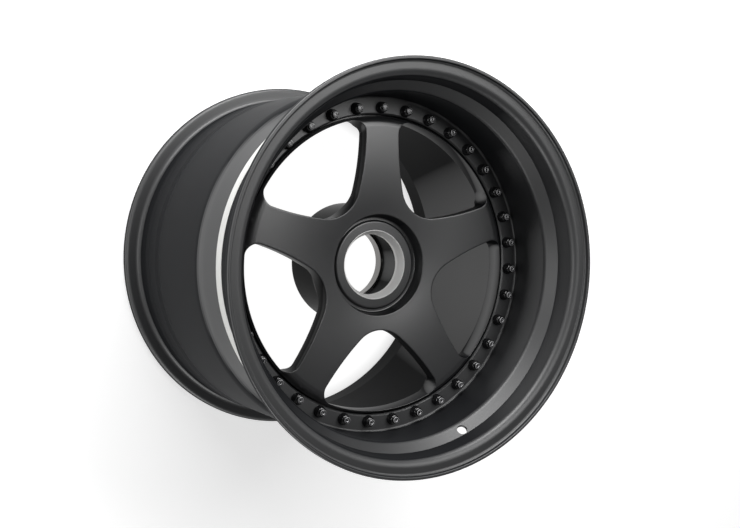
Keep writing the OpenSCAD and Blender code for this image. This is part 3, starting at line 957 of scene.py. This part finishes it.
def turned_lines() -> Tree:
    """Fine rings that a lathe tool leaves, over the radius and the height.

    Returns:
        A group with a tone and a normal.
    """
    graph, given, out = effect(
        "turned_lines",
        [
            ("Vector", "NodeSocketVector", None),
            ("Pitch", "NodeSocketFloat", 0.0004),
            ("Height", "NodeSocketFloat", 0.000004),
        ],
        [("Tone", "NodeSocketFloat"), ("Normal", "NodeSocketVector")],
    )
    radius, height = graph.polar(given.outputs["Vector"])
    run = graph.math("DIVIDE", graph.math("ADD", radius, height), given.outputs["Pitch"])
    along = graph.add("ShaderNodeCombineXYZ")
    graph.feed(along.inputs[0], run)
    ridges = graph.noise(along.outputs[0], 1.0, 3.0, 0.7)
    wave = graph.math("SINE", graph.math("MULTIPLY", run, 6.2832))
    graph.feed(out.inputs["Tone"], ridges)
    skin = graph.math("MULTIPLY_ADD", wave, 0.2, ridges)
    graph.feed(out.inputs["Normal"], graph.bumped(skin, given.outputs["Height"]))
    return graph.tree


def bare_land() -> Tree:
    """Where the coat was left off: the hub's rear face and the pilot land in its bore.

    Returns:
        A group with a mask that is 1 on bare metal.
    """
    graph, given, out = effect(
        "bare_land",
        [
            ("Vector", "NodeSocketVector", None),
            ("Bore radius", "NodeSocketFloat", 0.0432),
            ("Bore top", "NodeSocketFloat", 0.0062),
            ("Face top", "NodeSocketFloat", -0.0083),
        ],
        [("Mask", "NodeSocketFloat")],
    )
    radius, height = graph.polar(given.outputs["Vector"])
    within = graph.math("LESS_THAN", radius, given.outputs["Bore radius"])
    below = graph.math("LESS_THAN", height, given.outputs["Bore top"])
    face = graph.math("LESS_THAN", height, given.outputs["Face top"])
    graph.feed(out.inputs["Mask"], graph.math("MAXIMUM", graph.math("MULTIPLY", within, below), face))
    return graph.tree


@dataclass(frozen=True)
class Coat:
    """A black coat: its two tones, its gloss and the size of its grain."""

    name: str
    deep: Place
    light: Place
    roughness: Point
    shine: Point
    peel_scale: float = 900.0
    grit_scale: float = 4200.0
    height: float = 0.000008
    bare: bool = False
    # Height band, in metres, of a painted glint: a pale ring painted round the bolt tips in place of a highlight.
    painted_glint: tuple[float, float] | None = None


@dataclass(frozen=True)
class Steel:
    """Bare turned metal: its tone, gloss and the pitch of its tool lines."""

    name: str
    deep: Place
    light: Place
    roughness: Point
    pitch: float
    height: float


RIM_COAT = Coat("rim satin black", (0.010, 0.0105, 0.0115), (0.017, 0.0175, 0.019), (0.43, 0.49), (1.0, 0.02))
CENTRE_COAT = Coat(
    "centre satin black", (0.011, 0.0115, 0.0125), (0.019, 0.0195, 0.021), (0.27, 0.33), (0.98, 0.02), bare=True
)
NUT_COAT = Coat(
    "gloss black plating",
    (0.006, 0.006, 0.0065),
    (0.010, 0.010, 0.011),
    (0.10, 0.16),
    (0.9, 0.6),
    height=0.000002,
    # Painted highlight: a pale band over each bolt tip's chamfer and dimple wall, standing in for the glint on its
    # rounding.
    painted_glint=(0.0873, 0.08797),
)
# Colour and roughness of the painted highlight on the bolt tips.
PAINTED_GLINT_TONE = (0.42, 0.42, 0.43, 1.0)
PAINTED_GLINT_ROUGHNESS = 0.45
RING_STEEL = Steel("turned ring steel", (0.80, 0.79, 0.78), (0.93, 0.93, 0.92), (0.46, 0.58), 0.0005, 0.000003)
BUSH_STEEL = Steel("ground bush steel", (0.30, 0.30, 0.30), (0.44, 0.44, 0.43), (0.22, 0.34), 0.0003, 0.000003)
SEALANT_TONES = ((0.62, 0.62, 0.60, 1.0), (0.80, 0.80, 0.78, 1.0))
SEALANT_ROUGHNESS = (0.42, 0.60)
SHINE_FALL = (0.40, 0.54)
STEEL_METALLIC = 0.4
LAND_ROUGHNESS = 0.28
LAND_SHINE = 0.5
LAND_TONES = ((0.06, 0.06, 0.06, 1.0), (0.32, 0.31, 0.30, 1.0))


def new_material(name: str) -> tuple[Material, Graph, Node, Socket]:
    """A new material with its graph, its shader and the object's own coordinates."""
    material = bpy.data.materials.new(name)
    material.use_nodes = True
    graph = Graph(material.node_tree)
    shader = material.node_tree.nodes["Principled BSDF"]
    return material, graph, shader, graph.add("ShaderNodeTexCoord").outputs["Object"]


@dataclass
class Finishes:
    """Makes the materials of the wheel from the shared effects."""

    grain: Tree = field(default_factory=coat_grain)
    lines: Tree = field(default_factory=turned_lines)
    land: Tree = field(default_factory=bare_land)

    def group(self, graph: Graph, tree: Tree, **values: object) -> Node:
        """Places a shared effect in a material and feeds it."""
        node = graph.add("ShaderNodeGroup", node_tree=tree)
        for name, value in values.items():
            graph.feed(node.inputs[name.replace("_", " ").capitalize()], value)
        return node

    def coat(self, look: Coat) -> Material:
        """A sprayed black coat, whose shine falls off where it is seen flat on its side.

        Args:
            look: Tones, gloss and grain of the coat.

        Returns:
            The material.
        """
        material, graph, shader, place = new_material(look.name)
        skin = self.group(
            graph, self.grain, vector=place, peel_scale=look.peel_scale, grit_scale=look.grit_scale, height=look.height
        )
        tone = graph.mixed(skin.outputs["Tone"], (*look.deep, 1.0), (*look.light, 1.0))
        gloss = graph.spread(skin.outputs["Gloss"], 0.25, 0.75, *look.roughness)
        normal = skin.outputs["Normal"]
        facing = graph.add("ShaderNodeLayerWeight")
        facing.inputs["Blend"].default_value = 0.5
        shine = graph.spread(facing.outputs["Facing"], *SHINE_FALL, *look.shine)
        if look.bare:
            mask = self.group(graph, self.land, vector=place).outputs["Mask"]
            rings = self.group(graph, self.lines, vector=place)
            metal = graph.mixed(rings.outputs["Tone"], *LAND_TONES)
            tone = graph.mixed(mask, tone, metal)
            gloss = graph.spread(mask, 0.0, 1.0, gloss, LAND_ROUGHNESS)
            shine = graph.spread(mask, 0.0, 1.0, shine, LAND_SHINE)
            graph.feed(shader.inputs["Metallic"], mask)
            blend = graph.add("ShaderNodeMix", data_type="VECTOR")
            normal = graph.fill(blend, {0: mask, 4: normal, 5: rings.outputs["Normal"]}).outputs[1]
        # Painted highlight: a pale, rougher band painted on the bolt tips between two heights, in place of the glint
        # on their rounded edge.
        if look.painted_glint:
            _, height = graph.polar(place)
            above = graph.math("GREATER_THAN", height, look.painted_glint[0])
            mask = graph.math("MULTIPLY", above, graph.math("LESS_THAN", height, look.painted_glint[1]))
            tone = graph.mixed(mask, tone, PAINTED_GLINT_TONE)
            gloss = graph.spread(mask, 0.0, 1.0, gloss, PAINTED_GLINT_ROUGHNESS)
        graph.fill(shader, {"Base Color": tone, "Roughness": gloss, "Specular IOR Level": shine, "Normal": normal})
        return material

    def steel(self, look: Steel) -> Material:
        """Bare turned steel.

        Args:
            look: Tones, gloss and pitch of the tool lines.

        Returns:
            The material.
        """
        material, graph, shader, place = new_material(look.name)
        rings = self.group(graph, self.lines, vector=place, pitch=look.pitch, height=look.height)
        stain = graph.noise(place, 60.0, 3.0, 0.6)
        share = graph.math("MULTIPLY_ADD", stain, 0.4, graph.math("MULTIPLY", rings.outputs["Tone"], 0.6))
        tone = graph.mixed(share, (*look.deep, 1.0), (*look.light, 1.0))
        gloss = graph.spread(share, 0.3, 0.7, *look.roughness)
        graph.fill(shader, {"Base Color": tone, "Roughness": gloss, "Normal": rings.outputs["Normal"]})
        shader.inputs["Metallic"].default_value = STEEL_METALLIC
        return material

    def sealant(self) -> Material:
        """Pale sealant, wiped along the joint: slow streaks round the wheel and small pits.

        Returns:
            The material.
        """
        material, graph, shader, place = new_material("pale sealant")
        skin = self.group(graph, self.grain, vector=place, peel_scale=260.0, grit_scale=1500.0, height=0.00004)
        stretch = graph.add("ShaderNodeMapping")
        stretch.inputs["Scale"].default_value = (1.0, 1.0, 14.0)
        graph.feed(stretch.inputs["Vector"], place)
        streak = graph.noise(stretch.outputs[0], 22.0, 3.0, 0.6)
        share = graph.math("MULTIPLY_ADD", streak, 0.6, graph.math("MULTIPLY", skin.outputs["Tone"], 0.4))
        tone = graph.mixed(share, *SEALANT_TONES)
        gloss = graph.spread(share, 0.3, 0.7, *SEALANT_ROUGHNESS)
        graph.fill(shader, {"Base Color": tone, "Roughness": gloss, "Normal": skin.outputs["Normal"]})
        return material


def bolt_ring_tree() -> Tree:
    """Geometry node tree that sets copies of one fastener on a part of the bolt circle.

    Returns:
        The tree, with the piece, count, radius, first angle, step, seed and finish as its inputs.
    """
    tree = bpy.data.node_groups.new("bolt_ring", "GeometryNodeTree")
    tree.is_modifier = True
    tree.interface.new_socket("Geometry", in_out="OUTPUT", socket_type="NodeSocketGeometry")
    kinds = {"Piece": "Object", "Count": "Int", "Circle radius": "Float", "First angle": "Float", "Step": "Float"}
    kinds |= {"Height": "Float", "Seed": "Int", "Finish": "Material"}
    for label, kind in kinds.items():
        tree.interface.new_socket(label, in_out="INPUT", socket_type=f"NodeSocket{kind}")
    graph = Graph(tree)
    given, sink = graph.add("NodeGroupInput").outputs, graph.add("NodeGroupOutput")
    index = graph.add("GeometryNodeInputIndex").outputs[0]
    angle = graph.math("MULTIPLY_ADD", index, given["Step"], given["First angle"])
    place = graph.add("ShaderNodeCombineXYZ")
    for axis, wave in enumerate(("COSINE", "SINE")):
        graph.feed(place.inputs[axis], graph.math("MULTIPLY", graph.math(wave, angle), given["Circle radius"]))
    graph.feed(place.inputs[2], given["Height"])
    points = graph.fill(graph.add("GeometryNodePoints"), {"Count": given["Count"], "Position": place.outputs[0]})
    piece = graph.fill(graph.add("GeometryNodeObjectInfo", transform_space="ORIGINAL"), {"Object": given["Piece"]})
    turn = graph.add("FunctionNodeRandomValue", data_type="FLOAT")
    graph.fill(turn, {2: 0.0, 3: 2 * math.pi, "ID": index, "Seed": given["Seed"]})
    spin = graph.fill(graph.add("ShaderNodeCombineXYZ"), {2: turn.outputs[1]})
    copies = graph.add("GeometryNodeInstanceOnPoints")
    laid = {"Points": points.outputs[0], "Instance": piece.outputs["Geometry"], "Rotation": spin.outputs[0]}
    real = graph.fill(graph.add("GeometryNodeRealizeInstances"), {0: graph.fill(copies, laid).outputs[0]})
    finish = graph.add("GeometryNodeSetMaterial")
    graph.fill(finish, {"Geometry": real.outputs[0], "Material": given["Finish"]})
    graph.feed(sink.inputs[0], finish.outputs[0])
    return tree


@dataclass
class FastenerRing:
    """Lays one kind of rim fastener round the wheel, a group of seven beside each spoke."""

    kind: str
    piece: Piece
    material: Material
    seed: int

    def build(self, tree: Tree) -> None:
        """Makes the five groups.

        Args:
            tree: The geometry node tree that repeats the piece.
        """
        sockets = {item.name: item.identifier for item in tree.interface.items_tree if item.in_out == "INPUT"}
        for group in range(1, GROUPS + 1):
            obj = mesh_object(f"rim_{self.kind}_{group}_look", [], [])
            modifier = obj.modifiers.new("bolt_ring", "NODES")
            modifier.node_group = tree
            first = bolt_angle((group - 1) * PER_GROUP - PER_GROUP // 2)
            values = {
                "Piece": self.piece,
                "Count": PER_GROUP,
                "Circle radius": SIZES.bolt_r * MM,
                "First angle": math.radians(first),
                "Step": math.radians(360.0 / RIM_BOLTS),
                "Height": SIZES.joint_z * MM,
                "Seed": self.seed + group,
                "Finish": self.material,
            }
            for name, value in values.items():
                modifier[sockets[name]] = value
            apply_modifiers(obj)
            shade(obj)
            finish_piece(obj, self.material, [f"rim_{self.kind}_{group}"])
        bpy.data.objects.remove(self.piece)


@dataclass(frozen=True)
class Lamp:
    """A softbox: where it hangs, its size in metres and the brightness of its face."""

    name: str
    place: Place
    target: Place
    size: Point
    level: float

    @property
    def power(self) -> float:
        """Power in watts that gives the face its brightness."""
        return self.level * math.pi * self.size[0] * self.size[1]


LAMPS = (
    Lamp("overhead", (-0.30, 1.60, 0.56), (0.0, 0.0, 0.13), (1.9, 0.30), 20.0),
    Lamp("front", (0.50, 0.62, 1.36), (0.0, 0.0, 0.05), (1.0, 1.0), 4.4),
    Lamp("low left", (-0.75, -1.60, 0.40), (0.0, 0.0, 0.05), (0.9, 0.4), 8.0),
    Lamp("left strip", (-1.50, 0.10, 1.12), (0.0, 0.0, 0.08), (0.9, 0.20), 12.0),
)
FLOOR_R = 16.0
# Radii, in metres, where the painted shade and the painted glow on the floor under the wheel end.
PAINTED_HOLE_SPAN = (0.19, 0.22)
FLOOR_FAR = (0.5, 1.6)
FLOOR_GLOW = 0.45
BACKDROP_H = 4.0
WORLD_LEVEL = 0.16


@dataclass
class Studio:
    """Pale floor, plain soft lamps and the camera at the photograph's viewing angle."""

    def floor(self) -> None:
        """Lays the pale floor under the wheel, with its soft shadow; inside the barrel it has painted shade for
        bounced light and a painted white glow for the camera, over the shadow there.
        """
        low, half, edge = -SIZES.half_w, FLOOR_R / MM, (FLOOR_R + BACKDROP_H) / MM
        square, levels = ((-1, -1), (1, -1), (1, 1), (-1, 1)), ((half, low), (edge, low + BACKDROP_H / MM))
        verts = [(x * reach, y * reach, z) for reach, z in levels for x, y in square]
        banks = [(i, i + 4, (i + 1) % 4 + 4, (i + 1) % 4) for i in range(4)]
        floor = mesh_object("floor", verts, [(0, 1, 2, 3), *banks])
        material, graph, shader, place = new_material("pale floor")
        tone = graph.mixed(graph.noise(place, 3.0, 4.0), (0.80, 0.80, 0.80, 1.0), (0.84, 0.84, 0.84, 1.0))
        reach, _ = graph.polar(place)
        outside_painted_hole = graph.spread(reach, *PAINTED_HOLE_SPAN, 0.0, 1.0)
        far = graph.spread(reach, *FLOOR_FAR, 0.0, 1.0)
        # Painted shade: the floor inside the barrel's footprint is dark, so less light bounces up into the wheel's
        # inside.
        tone = graph.mixed(outside_painted_hole, (0.10, 0.10, 0.10, 1.0), tone)
        graph.fill(shader, {"Base Color": tone, "Roughness": 0.9, "Specular IOR Level": 0.0})
        white = graph.add("ShaderNodeEmission")
        # Painted light: for camera and glossy rays the floor glows full white inside the barrel's footprint, over the
        # wheel's shadow there, and dimmer round the wheel.
        painted_hole_glow = graph.spread(outside_painted_hole, 0.0, 1.0, 1.0, FLOOR_GLOW)
        graph.feed(white.inputs["Strength"], graph.math("MAXIMUM", painted_hole_glow, far))
        blend = graph.fill(graph.add("ShaderNodeAddShader"), {0: white.outputs[0], 1: shader.outputs[0]})
        path = graph.add("ShaderNodeLightPath").outputs
        mirrored = graph.math("MAXIMUM", path["Is Glossy Ray"], path["Is Transmission Ray"])
        seen = graph.math("MAXIMUM", path["Is Camera Ray"], mirrored)
        pick = graph.fill(graph.add("ShaderNodeMixShader"), {0: seen, 1: shader.outputs[0], 2: blend.outputs[0]})
        graph.feed(material.node_tree.nodes["Material Output"].inputs["Surface"], pick.outputs[0])
        floor.data.materials.append(material)

    def lamps(self) -> None:
        """Hangs the softboxes and sets the plain light of the room."""
        for lamp in LAMPS:
            data = bpy.data.lights.new(lamp.name, "AREA")
            data.shape = "RECTANGLE"
            data.size, data.size_y = lamp.size
            data.energy = lamp.power
            obj = bpy.data.objects.new(lamp.name, data)
            obj.location = lamp.place
            obj.rotation_euler = (Vector(lamp.target) - Vector(lamp.place)).to_track_quat("-Z", "Y").to_euler()
            bpy.context.scene.collection.objects.link(obj)
        world = bpy.data.worlds.new("room")
        world.use_nodes = True
        light = world.node_tree.nodes["Background"].inputs
        light["Strength"].default_value, light["Color"].default_value = WORLD_LEVEL, (1.0, 1.0, 1.0, 1.0)
        bpy.context.scene.world = world

    def camera(self) -> None:
        """Sets the camera that was fitted to the photograph's circles."""
        data = bpy.data.cameras.new("camera")
        data.lens, data.sensor_width = 50.34, 36.0
        data.clip_start, data.clip_end = 0.05, 100.0
        obj = bpy.data.objects.new("camera", data)
        right, up = Vector((0.87404, 0.00357, 0.48584)), Vector((0.02245, 0.99861, -0.04773))
        place = Matrix((right, up, right.cross(up))).transposed().to_4x4()
        place.translation = Vector((-572.72, 62.33, 1083.21)) * MM
        obj.matrix_world = place
        bpy.context.scene.collection.objects.link(obj)
        bpy.context.scene.camera = obj

    def build(self) -> None:
        """Makes the whole stage."""
        self.floor()
        self.lamps()
        self.camera()
        bpy.context.scene.view_settings.view_transform = "Standard"


def main() -> None:
    """Builds the wheel, its floor, its lights and its camera."""
    logging.basicConfig(level=logging.INFO)
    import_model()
    finishes = Finishes()
    rim_coat, nut_coat = finishes.coat(RIM_COAT), finishes.coat(NUT_COAT)
    for name, obj, material, slot in (
        ("outer_rim_half", build_outer_rim(), rim_coat, Slot.RIM),
        ("inner_rim_half", build_inner_rim(), rim_coat, Slot.RIM),
        ("wheel_centre", WheelCentre().build(), finishes.coat(CENTRE_COAT), Slot.CENTRE),
        ("joint_sealant", build_sealant(), finishes.sealant(), Slot.SEALANT),
        ("nut_seat_ring", build_seat_ring(), finishes.steel(RING_STEEL), Slot.BARE),
    ):
        shade(obj)
        finish_piece(obj, material, [name])
    tree = bolt_ring_tree()
    for kind, piece, seed in (("nuts", build_nut(), 10), ("bolts", build_bolt(), 30), ("washers", build_washer(), 50)):
        FastenerRing(kind, piece, nut_coat, seed).build(tree)
    bush_steel = finishes.steel(BUSH_STEEL)
    for k in range(1, GROUPS + 1):
        bush = bpy.data.objects[f"drive_bush_{k}"]
        bush.data.materials.clear()
        bush.data.materials.append(bush_steel)
    Studio().build()


if __name__ == "__main__":
    main()
